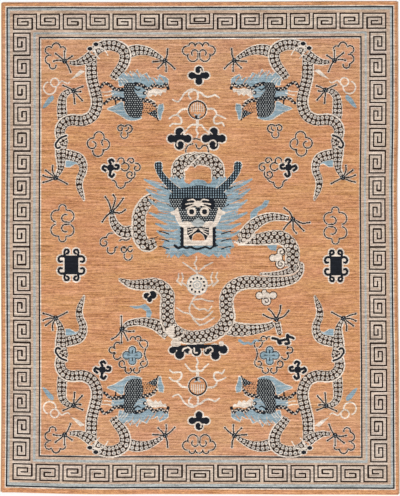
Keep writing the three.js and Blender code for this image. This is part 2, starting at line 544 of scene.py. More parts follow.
def corner_dragon(pen):
    """A corner dragon, drawn for the upper right corner with its head to the middle."""
    # the clouds behind it
    spirals(pen, CORNER_CLOUD)
    pen.line(arc((302, 322), 12.4, 170, 430), CREAM, 2.8, soft=False)
    pen.ring((292, 333), 8.4, CREAM, 2.8)
    pen.line([(283, 331), (278, 336), (273, 334), (266, 331), (262, 334)], CREAM, 2.6)
    pen.shape([(240, 359), (231, 356), (244, 346), (260, 339), (249, 351)], CREAM, soft=False)
    pen.shape(
        [(296, 307), (304, 303), (311, 294), (317, 281), (309, 284), (301, 292), (294, 300)], BLUE
    )
    # the middle leg
    pen.scales(
        [(277, 258), (278, 290), (275, 305), (266, 314), (257, 317)], (18, 18, 16, 13, 8), (1.6, 1.2)
    )
    toes(pen, (254, 317), [
        ((266, 323), (275, 327)), ((244, 322), (236, 325)), ((253, 303), (252, 291)),
        ((246, 307), (237, 297)), ((246, 314), (240, 315)),
    ])
    # the tail end, the web and the lower leg
    pen.shape([
        (270, 176), (256, 175), (242, 181), (238, 174), (241, 166), (250, 170), (262, 163), (270, 163),
    ], BLUE, edge=CREAM, soft=False)
    pen.scales(
        [(270, 188), (256, 185), (243, 180), (236, 168), (236, 154), (242, 139), (242, 121), (233, 96)],
        (19, 19, 17, 14, 13, 12, 9, 2), (0.8, 2.2)
    )
    pen.scales(
        [(274, 220), (279, 200), (279, 178), (280, 160), (286, 147), (289, 142)],
        (18, 21, 20, 15, 10, 6), (2.8, 0.8)
    )
    toes(pen, (290, 141), [
        ((304, 135), (315, 132)), ((305, 142), (315, 146)), ((302, 150), (310, 156)),
        ((296, 154), (296, 165)), ((280, 136), (267, 129)),
    ])
    # the body from the neck down, in three runs so that each one crosses over the last
    pen.scales([
        (273, 212), (280, 226), (280, 240), (272, 252), (258, 257),
        (236, 256), (216, 266), (207, 286), (207, 304),
    ], (17, 18, 19, 20, 20, 21, 21, 21, 21), (0.8, 2.8))
    pen.bands([[(269, 226), (281, 221), (290, 209), (287, 201), (281, 203)]], (CREAM, 8), (NAVY, 4.2))
    pen.scales(
        [(207, 302), (212, 322), (217, 344), (218, 366), (218, 388)], (21, 21, 21, 21, 21), (0.8, 2.8)
    )
    pen.scales(
        [(160, 390), (143, 394), (126, 398), (106, 396), (88, 388), (75, 380)],
        (24, 22, 20, 16, 11, 6), (0.8, 1.8)
    )
    pen.scales([
        (176, 341), (168, 352), (157, 366), (151, 382), (154, 397),
        (168, 406), (186, 408), (202, 403), (214, 393),
    ], (14, 17, 19, 20, 21, 21, 20, 20, 20), (2.8, 0.8))
    # the forelegs
    pen.scales([(216, 388), (228, 380), (246, 373), (262, 373)], (21, 17, 11, 6), (1.6, 1.4))
    pen.line([(212, 398), (208, 388), (202, 381)], CREAM, 3.4, 2)
    pen.line([(212, 402), (204, 404), (193, 400), (185, 388)], CREAM, 3.6, 2)
    toes(pen, (272, 376), [
        ((284, 378), (294, 376)), ((281, 384), (290, 391)), ((272, 384), (272, 396)),
        ((266, 380), (257, 386)), ((266, 368), (260, 354)),
    ])
    toes(pen, (70, 377), [
        ((66, 388), (65, 400)), ((60, 370), (51, 361)), ((68, 366), (68, 356)),
        ((76, 370), (84, 362)), ((82, 376), (94, 375)),
    ])
    for joint in ((221, 401), (209, 410)):
        pen.disc(joint, 7.0, CREAM, 5.6)
        pen.disc(joint, 5.0, NAVY, 3.8)
    corner_head(pen.at((120, 306), flip=(-1, 1)))


def curled_cross(pen):
    """A small dark cross whose four arms curl."""
    arms = [
        [(0, 0), (-1, 9), (-3, 14), (2, 16), (5, 13)],
        [(0, 0), (-8, 1), (-14, 3), (-16, -2), (-11, -6)],
        [(0, 0), (8, -2), (14, -2), (15, 4), (10, 5)],
        [(0, 0), (-1, -9), (-2, -16), (3, -18), (6, -14)],
    ]
    centre = [(-7, -4), (-6, 5), (0, 8), (6, 4), (7, -4), (0, -9)]
    pen.shape(centre, CREAM, edge=CREAM, edge_width=2.4, soft=False)
    pen.bands(arms, (CREAM, 10.2), (NAVY, 5.4))
    pen.shape(centre, NAVY, soft=False)


def medallion(pen):
    """A dark block with two curled arms at each of its corners."""
    upright = [(13, 16), (14, 27), (10, 31), (6, 29), (6, 25), (9, 23)]
    level = [(12, 17), (22, 17), (26, 12), (24, 7), (19, 7)]
    corners = ((-1, 1), (1, 1), (-1, -1), (1, -1))
    arms = [arm * np.array(flip) for flip in corners for arm in (upright, level)]
    block = box(-14, -19, 14, 19)
    pen.shape(block, CREAM, edge=CREAM, edge_width=2.6, soft=False)
    pen.bands(arms, (CREAM, 10), (NAVY, 4.8))
    pen.shape(block, NAVY, soft=False)


def dark_cloud(pen, size=1.0):
    """A dark cloud of four lobes with a pale edge and one pale scroll."""
    circles = [
        (0, 13.5, 8.6), (-16.5, 0, 8), (16.5, 0, 8), (0, -13, 9), (0, 2, 9), (-8, 0, 7.6), (8, 0, 7.6),
    ]
    lobes(pen, np.multiply(circles, size), NAVY, CREAM, 2.6)
    scroll = [(-9, -17), (-10, -9), (-5, -4), (1, -4), (5, -9), (4, -15)]
    pen.at((0, 0), size=size).line(scroll, CREAM, 2.6)


def field_cloud(pen):
    """The outlined cloud at the middle of each end of the field, two mirrored halves."""
    for half in pen.halves():
        spirals(half, HALF_FIELD_CLOUD)
        outlined(half, [[(2, -11), (1.5, -2)]])


def tall_cloud(pen):
    """The tall outlined cloud beside the middle dragon, alike above and below its waist."""
    outer = np.vstack([
        arc((11, 14), 12, -74, 100), arc((0, 30), 7.2, -18, 198), arc((-11, 14), 12, 82, 240),
    ])
    inner = np.vstack([[(-14, 2)], arc((-6, 10), 7.4, -85, 110)])
    outlined(pen, [line * (1, up) for line in (outer, inner) for up in (-1, 1)])


def pearl(pen):
    """A pearl in outline with wavy flames, the biggest of them above it."""
    highest = [
        (0, 19), (1, 31), (-2, 38), (-10, 41), (-18, 39), (-27, 32), (-32, 24), (-38, 17), (-46, 18),
    ]
    flames = [
        [*highest, (-50, 21)], [(1, 36), (7, 34), (14, 28), (22, 26), (30, 28), (35, 30), (44, 24)],
        [(-10, 38), (-17, 34), (-17, 27), (-13, 22)],
        [(-22, 2), (-32, 0), (-39, -7), (-42, -10), (-50, -12), (-57, -18)],
        [(-42, -10), (-36, -14), (-32, -21), (-34, -28), (-44, -28), (-50, -28), (-56, -33)],
        [(21, 2), (31, 2), (38, -5), (39, -10), (47, -13), (57, -18)],
        [(39, -10), (33, -18), (35, -27), (42, -28), (49, -26), (54, -33)],
        [(0, -31), (-10, -30), (-18, -36), (-25, -45)], [(0, -31), (8, -31), (14, -38), (22, -45)],
        [(0, -31), (-2, -41), (1, -48), (-2, -56)],
    ]
    for flame in flames:
        pen.line(flame, CREAM, 4.2, 3.0)
    pen.line([(0, -19), (0, -32)], CREAM, 6)
    pen.disc((0, 0), 20.4, CREAM)
    pen.disc((0, 0), 18.8, NAVY)
    pen.disc((0, -0.6), 16.2, FIELD)
    for i in range(-3, 4):
        top = math.sqrt(196 - (i * 4) ** 2)
        pen.line([(i * 4, top), (i * 4, -3)], GROUND, 1.6)
    pen.line([(-6, -9), (0, -12), (6, -9)], GREY, 3)
    pen.disc((-2, -14), 3.4, NAVY)
    pen.disc((2, -15), 2.4, GREY)


# The ring of curls round the blue cloud
CURL_RING = [
    (7.5, -29, 8, 4.6, 36, -0.75), (-7, -29, 8, 4.6, 144, 0.75), (22, -15.5, 9, 3.6, 50, -0.95),
    (-20, -16, 8.6, 3.6, -50, -0.95), (-31, -0.5, 7.5, 6.5, -20, -0.62),
    (-40.5, 11.5, 6.5, 5.5, -45, -0.8), (-29, 20, 8, 6, 210, -0.45), (1, 33, 5, 5, 185, -0.5),
    (12.5, 33, 6.5, 3.6, 185, -0.85), (22.5, 22.5, 8.5, 8.5, 130, -0.55),
]


def blue_cluster(pen):
    """A blue cloud of four lobes inside a ring of curls."""
    spirals(pen, CURL_RING)
    links = [
        [(27, 14), (25, 7), (25, 0), (28, -9)],
        [(14, 27), (16, 21), (21, 16)], [(22, -24), (17, -24), (14, -26)],
    ]
    outlined(pen, links)
    flower = [(0, 11, 6.4), (0, -11, 6.6), (-11.5, 0.5, 7), (11.5, 0.5, 6.6), (0, 0, 8)]
    lobes(pen, flower, BLUE, GROUND, 3.4)
    lobes(pen, flower, BLUE, NAVY, 1.6)
    for x, y in ((0, 10), (0, -10), (10, 1), (-10, 1)):
        pen.line([(x * 0.5, y * 0.5), (x, y)], NAVY, 1.8)


def dark_strip(pen):
    """The dark cloud under the middle dragon's belly."""
    circles = [
        (-55, -205.5, 7), (-38, -205.5, 8), (-41, -214, 9), (-25, -206, 6),
        (-7, -208, 9), (14, -208, 6), (31, -216, 8.6), (47, -204, 8.6), (29, -204, 10),
    ]
    lobes(pen, circles, NAVY, CREAM, 2.6)
    pen.line([(-52, -201), (-7, -198), (48, -199)], NAVY, 9)
    scrolls = [
        [(-35, -207), (-32, -202), (-23, -200), (-18, -206), (-22, -209)],
        [(-12, -201), (-11, -210), (-5, -210)],
        [(11, -207), (13, -202), (22, -200), (26, -206), (22, -209)],
    ]
    pen.bands(scrolls, (CREAM, 3))
    pen.disc((43, -192), 5.4, CREAM)
    pen.shape(
        [(-56, -187), (-49, -184), (-42, -187), (-41, -195), (-50, -197), (-57, -194)],
        GROUND, edge=CREAM
    )


def mane(pen):
    """The blue mane behind the middle dragon's face, with locks that reach out on both sides."""
    outline = [
        (0, 62), (14, 60), (24, 54), (33, 66), (46, 71), (52, 60), (62, 55), (76, 54),
        (84, 44), (81, 32), (85, 20), (82, 6), (80, -6), (72, -16), (64, -24),
        (62, -36), (66, -48), (68, -62), (73, -74), (64, -79), (66, -88), (58, -86),
        (55, -97), (47, -89), (40, -96), (30, -88), (22, -94), (14, -90), (0, -84),
    ]
    # each lock's root, middle, tip and width at the root
    locks = [
        ((60, 42), (84, 50), (108, 62), 13), ((66, 18), (86, 29), (104, 42), 11),
        ((74, 4), (87, 12), (98, 20), 8), ((56, -22), (78, -14), (98, -5), 12),
        ((62, -36), (74, -31), (85, -27), 8), ((62, -52), (74, -48), (82, -42), 6),
    ]
    # where the field's colour parts the mane: outer end, middle, inner end and width
    partings = [
        ((104, 50), (90, 45), (72, 40), 4.5), ((98, 27), (84, 20), (68, 14), 3.5),
        ((92, 4), (78, -4), (60, -7), 4.5), ((84, -22), (66, -28), (42, -30), 4.5),
        ((84, -36), (68, -42), (48, -42), 3.5), ((78, -56), (66, -58), (52, -56), 2.6),
    ]
    combed = [
        [(62, -94), (56, -82), (54, -72)], [(40, -93), (42, -84), (46, -78)],
        [(16, -90), (22, -84), (26, -82)],
    ]
    # how far out the stray strands reach at a few heights
    heights = (-90, -70, -30, 0, 25, 62)
    reaches = (60, 74, 70, 84, 92, 98)
    strays = np.random.default_rng(7)
    for half in pen.halves():
        half.shape(outline, BLUE, soft=False)
        for *strand, width in locks:
            half.line(strand, GREY, width + 1.6, 4)
            half.line(strand, BLUE, width, 2.4)
        for *strand, width in partings:
            half.line(strand, FIELD, width, 1)
        for i, y in enumerate(np.linspace(-84, 56, 32)):
            edge = np.interp(y, heights, reaches) + strays.uniform(-10, 4)
            rise = 3 + y / 20 + strays.uniform(-1.5, 1.5)
            middle = y + strays.uniform(-1.5, 1.5)
            strand = [(edge - 26, y - rise), (edge - 10, middle), (edge + 4, y + rise)]
            half.line(strand, (GREY, BLUE, TAN, BLUE)[i % 4], 2.4, 1.0)
        for strand in combed:
            half.line(strand, GREY, 2.2, 1.0)


def horns(pen):
    """Two horns that bend up to a knob, and the dark dome of the head between them."""
    for half in pen.halves():
        horn = [(42, 38), (58, 52), (72, 68), (79, 80), (79, 88)]
        tip = [(72, 82), (73, 95), (77, 98), (86, 97), (88, 92), (87, 84), (82, 78)]
        half.shape(tip, NAVY, edge=CREAM, soft=False)
        half.line(horn, CREAM, 18, 13)
        half.shape(tip, NAVY, soft=False)
        half.line(horn, NAVY, 16, 11)
        half.line([(60, 42), (67, 45), (73, 48)], NAVY, 4, 2)
        half.line([(50, 8), (57, 9), (63, 13)], NAVY, 4, 2)
    head = [
        (-41, 43), (-25, 46), (0, 50), (20, 48), (41, 43), (53, 36), (59, 26),
        (56, 14), (49, 3), (40, -8), (32, -22), (14, -24), (-14, -24),
        (-32, -22), (-40, -8), (-49, 3), (-56, 14), (-59, 26), (-53, 36),
    ]
    pen.shape(head, NAVY)
    pen.shape(
        [(-34, 42), (0, 47), (34, 42), (50, 34), (54, 24), (-54, 24), (-50, 34)], NAVY, soft=False
    )


def weave_dots(pen, brow):
    """Pale dots all over the dark head and horns, drawn out into upright dashes above the brow."""
    part, x, y = pen.window(pen.put([(-92, -26), (92, 100)]), 0)
    y = y - pen.offset[1]
    x = x - pen.offset[0]
    dashes = (x % 5 < 2.0) & (y % 5 < 2.6)
    spots = dotted(x, y, 5, 2.1)
    dark = part == NAVY
    part[dark & (y > brow) & dashes] = BLUE
    part[dark & (y <= brow) & spots] = GREY


def arch(pen):
    """The body's arch over the head, and the opening under it."""
    pen.scales([(-40, 62), (-40, 85), (-30, 98), (-10, 104), (0, 104)], (24, 24, 24, 23, 22))
    pen.scales(
        [(-16, 93), (-6, 102), (13, 103), (30, 97), (39, 85), (40, 62)], (20, 22, 24, 24, 24, 24)
    )
    pen.shape([
        (-26, 57), (-26, 80), (-19, 84), (16, 86), (22, 77),
        (25, 54), (19, 54), (12, 60), (0, 64), (-10, 60), (-18, 52),
    ], FIELD, soft=False)
    pen.line([(-25, 80), (-15, 92), (-5, 102), (5, 111)], CREAM, 2.8)
    for half in pen.halves():
        half.shape([
            (24, 44), (27, 58), (31, 68), (37, 60), (44, 70),
            (49, 64), (56, 68), (60, 54), (50, 44), (40, 42),
        ], BLUE, soft=False)
        half.line([(44, 68), (42, 56), (36, 46)], GREY, 1.8)


def eyes(pen):
    """Round eyes under feathered white brows."""
    for half in pen.halves():
        half.shape([(-2, 8), (-2, 20), (12, 26), (29, 24), (34, 12), (30, 1), (20, 6)], NAVY)
        for middle, tip in (((9, 21), (21, 20)), ((13, 14), (25, 12)), ((12, 9), (24, 4))):
            half.line([(1, 12), middle, tip], CREAM, 3.6, 2.2)
        half.disc((13, -3), 9.4, CREAM)
        half.disc((13, -3), 5.4, NAVY)
        half.shape([
            (41, 6), (49, -1), (56, -3), (54, -9), (47, -10),
            (45, -18), (39, -28), (31, -27), (36, -12), (39, -2),
        ], CREAM, soft=False)
        half.line([(47, -3), (42, -14), (38, -24)], GROUND, 1.4)
    pen.shape([(-10, 14), (0, 19), (10, 14), (0, 6)], CREAM)
    pen.disc((0, 3), 3.4, NAVY)


def mouth(pen):
    """The open mouth with its white frame, fangs and whiskers, and the dark jaw on both sides."""
    pen.shape(box(-30, -71, 29, -30), CREAM, soft=False)
    pen.shape(box(-22, -61, 22, -33), NAVY, soft=False)
    for half in pen.halves():
        for drop in (0, 5, 10):
            half.line([(2, -37), (11, -38 - drop * 0.7), (20, -39 - drop * 1.2)], CREAM, 2.4, 1.6)
        half.shape([(23, -62), (23, -47), (19, -52), (17, -58), (12, -62)], CREAM, soft=False)
        half.line([(32, -31), (32, -71)], NAVY, 5.6)
        for y in range(-36, -70, -8):
            half.disc((34.5, y), 2.6, NAVY)
            half.disc((34.2, y), 0.8, GROUND)
        half.shape([(38, -27), (26, -22), (13, -25), (8, -33), (22, -35), (32, -34), (38, -30)], CREAM)
        half.line([(12, -29), (22, -28), (32, -29)], GROUND, 1.4)
    pen.shape(
        [(-12, -61), (-10, -51), (-3, -46), (4, -46), (10, -51), (13, -61)],
        FIELD, edge=CREAM, soft=False
    )
    pen.line([(-22, -66), (22, -66)], GROUND, 1.4)
    pen.disc((0, -26), 12.4, GREY, 7.6)
    pen.disc((0, -25), 8.0, GREY, 9.0)
    wave = [
        (-47, -71), (-40, -76), (-32, -73), (-24, -76), (-15, -74), (-8, -77),
        (-1, -78), (7, -76), (15, -74), (24, -77), (31, -73), (38, -71),
    ]
    pen.line(wave, NAVY, 5.4, 3.6)
    for half, start in zip(pen.halves(), (63, 51)):
        for y, rise in ((-48, 5), (-62, 4), (-78, 5)):
            strand = [(start - 4, y), (start + 7, y + rise - 1), (start + 15, y + rise)]
            half.line(strand, NAVY, 2.6, 1.6)


def face(pen):
    """The middle dragon's face, from its own middle."""
    mane(pen)
    arch(pen)
    horns(pen)
    weave_dots(pen, 24)
    eyes(pen)
    mouth(pen)


def middle_dragon(pen):
    """The dragon in the middle, seen from the front."""
    # blue wisps
    pen.shape([
        (-140, -117), (-122, -117), (-110, -113), (-102, -120), (-97, -130),
        (-100, -139), (-107, -139), (-107, -127), (-117, -120), (-130, -121),
    ], BLUE, edge=GREY, edge_width=1, soft=False)
    pen.shape([
        (103, 46), (103, 70), (112, 79), (126, 86), (132, 95),
        (140, 95), (135, 84), (117, 73), (112, 58), (109, 46),
    ], BLUE, edge=GREY, edge_width=1, soft=False)
    pen.shape([(132, 8), (156, 6), (154, -6), (142, -4)], BLUE, soft=False)
    pen.line([(80, -186), (89, -192), (97, -190), (103, -193), (111, -185), (118, -188)], BLUE, 6, 3)
    # legs
    pen.scales(
        [(56, -160), (72, -164), (92, -165), (115, -163), (138, -158), (150, -151)],
        (28, 26, 22, 18, 14, 9), (2.8, 1.0)
    )
    pen.scales([(155, -148), (158, -160), (161, -174)], (10, 9, 7))
    toes(pen, (154, -143), [
        ((140, -140), (128, -134)), ((146, -130), (139, -123)),
        ((161, -128), (163, -116)), ((169, -137), (179, -126)),
    ], 3.4)
    pen.scales(
        [(-62, -172), (-76, -162), (-90, -154), (-110, -149), (-130, -149), (-146, -153), (-154, -161)],
        (26, 24, 20, 16, 13, 10, 7)
    )
    toes(pen, (-157, -163), [
        ((-158, -153), (-158, -137)), ((-146, -167), (-133, -167)), ((-150, -175), (-145, -185)),
        ((-158, -176), (-158, -190)), ((-166, -176), (-177, -183)),
    ])
    pen.scales(
        [(-137, 34), (-150, 32), (-163, 38), (-172, 50), (-176, 62), (-177, 70)],
        (21, 21, 19, 16, 12, 8)
    )
    toes(pen, (-177, 73), [
        ((-183, 92), (-190, 103)), ((-170, 98), (-174, 107)),
        ((-164, 86), (-154, 100)), ((-160, 71), (-150, 77)), ((-188, 64), (-196, 53)),
    ], 3.4)
    # right of the head: the body's upper run, whose end tapers away behind the lower run
    pen.scales([(196, -24), (188, -42), (170, -49), (148, -52), (122, -52)], (22, 14, 8, 5, 2))
    pen.scales([
        (76, 12), (100, 16), (126, 19), (150, 22), (168, 20),
        (182, 8), (188, -8), (187, -26), (186, -38),
    ], (8, 15, 21, 25, 26, 26, 26, 26, 22), (1.0, 2.8))
    # the lower run, from behind the upper one to the tail
    route = [
        (206, -30), (204, -46), (192, -60), (168, -67), (132, -69), (104, -68),
        (84, -70), (65, -80), (54, -97), (53, -118), (56, -140), (46, -158),
        (26, -172), (0, -178), (-28, -178), (-52, -166), (-64, -146), (-65, -120),
        (-64, -96), (-74, -80), (-92, -72), (-114, -73), (-138, -72), (-162, -62),
    ]
    widths = [3, 10, 16, 20, 22, 24, 25, *[26] * 6, 25, 25, *[26] * 4, 25, 23, 20, 14, 3]
    pen.scales(route, widths, (2.8, 1.0))
    pen.shape([(-68, -166), (-60, -158), (-52, -158), (-53, -178), (-62, -178)], CREAM)
    pen.line([(-53, -183), (-38, -178), (-30, -167)], CREAM, 3)
    # the arm to the right
    pen.scales(
        [(80, 18), (92, 28), (104, 42), (122, 55), (142, 62), (162, 62), (180, 59)],
        (22, 23, 22, 19, 15, 12, 8)
    )
    pen.line([(70, 12), (84, 8), (98, 14), (112, 28)], CREAM, 3)
    pen.line([(82, 26), (86, 18), (96, 16)], CREAM, 2.4)
    toes(pen, (188, 58), [
        ((182, 71), (171, 80)), ((206, 50), (222, 51)), ((202, 43), (210, 35)),
        ((189, 38), (195, 30)), ((176, 46), (170, 38)),
    ], 3.4)
    # left of the head: the body's bow
    pen.scales(
        [(-92, 103), (-108, 91), (-120, 70), (-122, 46), (-120, 22), (-106, 6), (-88, 12)],
        (16, 22, 24, 25, 25, 24, 14), (1.4, 3.0)
    )
    pen.line([(-99, 20), (-92, 20), (-84, 23)], NAVY, 3, 1.5)
    # small clouds between the coils, each with its scrolls
    upper = [(147.8, -20, 6.6), (164, -8, 7.2), (162.4, -32, 8.6), (158, -20, 8)]
    lower = [(120, -95.5, 6.6), (148, -95, 6.6), (134, -106, 8.6), (130, -89, 4.6), (134, -97, 8)]
    for circles in (upper, lower):
        lobes(pen, circles, CREAM, BROWN, 1.8)
    for x, y, start, turns in ((165, -8, 60, -0.9), (163, -32, 120, 0.9), (134, -106, 150, -0.9)):
        pen.line(spiral(x, y, 6, 2.4, start, turns), BROWN, 1.8, soft=False)
    lobes(pen, [(-107, -96, 6.4), (-95, -94, 8), (-101, -104, 5)], NAVY, CREAM, 2.4)
    pen.line([(-111, -89), (-104, -88), (-100, -93), (-104, -98)], CREAM, 2)
    spirals(pen, LEFT_SCROLLS)
    outlined(pen, [[(-161, 15), (-156, 18), (-148, 16), (-141, 19)]])


def middle_pearl(pen):
    """The dotted pearl under the middle dragon's face, with fine flames."""
    flames = [
        [(0, 22), (-2, 36), (-6, 43), (-1, 51), (-2, 57)], [(-2, 26), (-16, 36), (-29, 45)],
        [(4, 27), (16, 38), (31, 45)], [(22, -2), (31, 3), (27, 15), (31, 25)],
        [(32, -2), (42, 8), (37, 15), (41, 25)], [(-22, -2), (-31, 5), (-28, 15), (-31, 24)],
        [(-32, 0), (-41, 8), (-38, 13), (-37, 23)],
        [(-1, -19), (-8, -28), (-13, -38), (-16, -46), (-15, -58), (-29, -55), (-42, -46)],
        [(-15, -58), (-6, -68), (9, -70), (21, -63), (31, -53)],
        [(-9, -38), (-4, -45), (4, -50), (14, -48), (22, -53), (29, -43)],
        [(-9, -68), (4, -81), (16, -78), (34, -66)], [(-6, -30), (8, -28), (21, -32), (32, -33)],
    ]
    for flame in flames:
        pen.line(flame, GROUND, 3.6, 2.8, soft=False)
    pen.disc((0, 0), 21.4, GREY)
    pen.disc((0, 0), 20.0, CREAM)
    turn = math.radians(90) + 2 * math.pi * np.arange(11) / 11
    for radius, size, colour in ((14.4, 2.5, NAVY), (14.8, 0.9, GREY)):
        for bead in around(0, 0, radius, turn):
            pen.disc(bead, size, colour)
    pen.ring((0, 0), 8, GREY, 2)
    pen.ring((0, 0), 3, GREY, 1.6)


def squiggle(pen):
    """A small dark wave with three curls."""
    wave = [(-21, 2), (-12, 0), (-7, -3), (1, -1.5), (7, 0), (12, 5), (21, 2)]
    curls = [[(-10, -2), (-8, -8), (-4, -8)], [(10, 0), (12, -8), (5, -9)], [(9, 3), (9, 8), (10, 8)]]
    pen.bands([wave, *curls], (CREAM, 10.2), (NAVY, 5.4))


def field_side(pen, left):
    """The clouds and medallions of one side of the field. The left side's lie a little otherwise
    than the mirror image of the right side's."""
    for table in (SMALL_CLOUD, SIDE_CLOUD, LOOSE_SCROLLS):
        spirals(pen, table)
    for place in ((179, 162), (196, -244)):
        curled_cross(pen.at(place, flip=(-1, 1)))
    blue_cluster(pen.at((136 if left else 140, -216), flip=(-1, 1)))
    tall_cloud(pen.at((276, 50) if left else (274, 45)))
    medallion(pen.at((258, -34)) if left else pen.at((275, -36), flip=(0.86, 1)))
    cloud = pen.at((41, 220) if left else (28, 220))
    dark_cloud(cloud)
    cloud.line([(-10, 15), (-3, 9)], CREAM, 3, 1.5)


def field_end(pen):
    """The dark cloud, the outlined cloud and the pearl at the middle of one end of the field."""
    dark_cloud(pen.at((0, 347), flip=(1, -1)), 0.86)
    field_cloud(pen.at((0, 394)))
    pearl(pen.at((-3, 278)))


def field_motifs(pen):
    """All that lies in the field round the middle dragon."""
    for side in (-1, 1):
        for end in (-1, 1):
            corner_dragon(pen.at((-1 if side > 0 else 0, 0), flip=(side, end)))
        field_side(pen.at((0, 0), flip=(side, 1)), side < 0)
    for end in (-1, 1):
        field_end(pen.at((-2, 0), flip=(1, end)))
    strokes = [
        [(-28, 191), (-28, 198), (-24, 206), (-14, 210)],
        [(-8, 209), (-5, 201), (1, 200), (7, 206), (15, 204), (18, 192)],
        [(-13, 219), (-7, 220), (1, 217)],
    ]
    outlined(pen, strokes)
    squiggle(pen.at((167, -183)))


def make_chart():
    """The whole chart, drawn from the border inwards, with the middle dragon's face last."""
    knots = np.full((ROWS, COLUMNS), FIELD, np.uint8)
    fret_stripe = stripes(knots)
    pen = Pen(knots)
    fret(pen)
    fret_channel(knots, fret_stripe)
    field_motifs(pen)
    middle_pearl(pen.at((-5, -74)))
    middle_dragon(pen)
    dark_strip(pen)
    face(pen.at((-3, 76)))
    return knots


# The cloth in metres

KNOT = 0.003
CHART_WIDTH = COLUMNS * KNOT
CHART_LENGTH = ROWS * KNOT
PILE_TOP = 0.009
PILE_WAVE = 0.0004
BACK_HEIGHT = 0.0011

# The pile lies level this near to its long sides
LEVEL_EDGE = 0.02

# One face of the pile holds a cell of knots. What is left of the chart outside the cells is
# the plain outermost band.
CELL_COLUMNS = 8
CELL_ROWS = 3
FIRST_COLUMN = 4
FIRST_ROW = 3
COLOURS = 8

# Edge sections from the pile down, as (distance in from the woven edge, height) in millimetres
SIDE_SECTION = [(10.8, 8.5), (9.6, 7.4), (8.8, 5.6), (8.4, 3.0), (8.4, 0.5)]
END_SECTION = [(4.4, 8.7), (1.8, 7.0), (0.2, 4.2), (0.6, 1.2), (2.4, 0.15)]
SIDE_BACK = [(8.4, 1.1)]
END_BACK = [(2.4, 1.1)]

# The overcast selvedge along each long side
SELVEDGE_WIDTH = 0.0086
SELVEDGE_HEIGHT = 0.0066
SELVEDGE_SIDES = 12
WRAP_PITCH = 0.0046
WRAP_RIDGE = 0.0009
WRAP_SLANT = 0.0022
RINGS_PER_WRAP = 6
END_GAP = 0.003
END_TAPER = 0.002

# The foundation turned under and whipped down at each end. The section runs round the strip, as
# (distance in from the fold, height).
HEM_WIDTH = 0.034
HEM_THICKNESS = 0.0009
HEM_SECTION = [
    (0, 0.0006), (0.001, 0.0001), (HEM_WIDTH - 0.001, 0), (HEM_WIDTH, 0.0004),
    (HEM_WIDTH - 0.0004, HEM_THICKNESS), (0.0004, HEM_THICKNESS),
]
HEM_STATIONS = 120
HEM_SIDE_GAP = 0.016
FOLD_INSET = 0.003
STITCH_PITCH = 0.014
STITCH_REACH = 0.005
STITCH_STATIONS = 5
THREAD_RADIUS = 0.0004
THREAD_SIDES = 4

# Wool colours in daylight, as 8-bit values, in the chart's order
WOOLS = {
    "field": (214, 153, 108),
    "cream": (238, 222, 206),
    "navy": (26, 30, 38),
    "blue": (148, 171, 182),
    "ground": (222, 204, 188),
    "brown": (44, 28, 20),
    "grey": (182, 186, 184),
    "tan": (206, 176, 152),
}
WARP_COTTON = (205, 192, 172)
YARN_DARK, YARN_PALE = (186, 134, 92), (222, 184, 150)
COTTON_DARK, COTTON_PALE = (176, 160, 138), (222, 210, 190)
LIGHT_LEVEL = 1.08

# The marks in the wool: how many lie in a knot across and in a row along, and how far each kind
# moves the wool's lightness. Besides these, the value falls from the front end to the back end, which
# is painted light.
DASHES, DASH_SWING = (0.11, 0.5), 1.25
STREAKS, STREAK_SWING = (0.018, 0.36), 1.6
LOTS, LOT_SWING = (0.008, 0.03), 0.15
KNOT_SWING = 0.5
FIBRE_SCALE, FIBRE_SWING = 1700.0, 0.9
# Painted light: the wool's value is highest at the front end and falls in a straight line to the back
# end
PAINTED_LIGHT_AT_FRONT, PAINTED_LIGHT_FALL = 1.062, 0.07
HUE, HUE_SWING = 0.47, 0.03
STREAK_DEPTH = 0.35
PALER_DEPTH = 0.25
TUFT_HEIGHT, KNOT_HEIGHT, FIBRE_HEIGHT = 0.7, 0.35, 0.9
WARP_PITCH = 0.0026
WEFT_PITCH = 0.0018

# The frame's outermost ring of points lies between these heights
RIM_LOW, RIM_HIGH = 0.0024, 0.0034


def rim_points():
    """The frame's outermost ring of points, at the height of the outermost yarn."""
    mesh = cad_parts["carpet"].data
    points = np.empty(len(mesh.vertices) * 3)
    mesh.vertices.foreach_get("co", points)
    points = points.reshape(-1, 3)
    return points[(points[:, 2] > RIM_LOW) & (points[:, 2] < RIM_HIGH)]


def side_line(rim, axis, end):
    """One side of the rim: places along it, and how far out it lies there."""
    along = rim[:, 1 - axis]
    out = rim[:, axis]
    on_side = (out * end > 0.97 * np.abs(out).max()) & (np.abs(along) < np.abs(along).max() - 0.02)
    order = np.argsort(along[on_side])
    return along[on_side][order], out[on_side][order]


RIM = rim_points()
LEFT = side_line(RIM, 0, -1)
RIGHT = side_line(RIM, 0, 1)
FRONT = side_line(RIM, 1, -1)
BACK = side_line(RIM, 1, 1)


def laid(x, y):
    """Places on the chart, in metres from its middle, moved so that its edges meet the frame's."""
    u = 2 * x / CHART_WIDTH
    v = 2 * y / CHART_LENGTH
    left = np.interp(y, *LEFT) + CHART_WIDTH / 2
    right = np.interp(y, *RIGHT) - CHART_WIDTH / 2
    front = np.interp(x, *FRONT) + CHART_LENGTH / 2
    back = np.interp(x, *BACK) - CHART_LENGTH / 2
    moved_x = x + left * ((1 - u) / 2) ** 2 + right * ((1 + u) / 2) ** 2
    moved_y = y + front * ((1 - v) / 2) ** 2 + back * ((1 + v) / 2) ** 2
    return moved_x, moved_y


def unevenness(x, y, height):
    """Long soft waves in the cloth and a small random difference in height from place to place."""
    waves = np.sin(5.1 * x + 2.3 * y) * np.sin(3.7 * y - 1.9 * x + 0.7)
    waves = waves + 0.5 * np.sin(11.3 * x - 6.1 * y + 1.3)
    rough = np.random.default_rng(5).normal(0, 1, x.shape)
    return height * (0.7 * waves + 0.3 * rough)


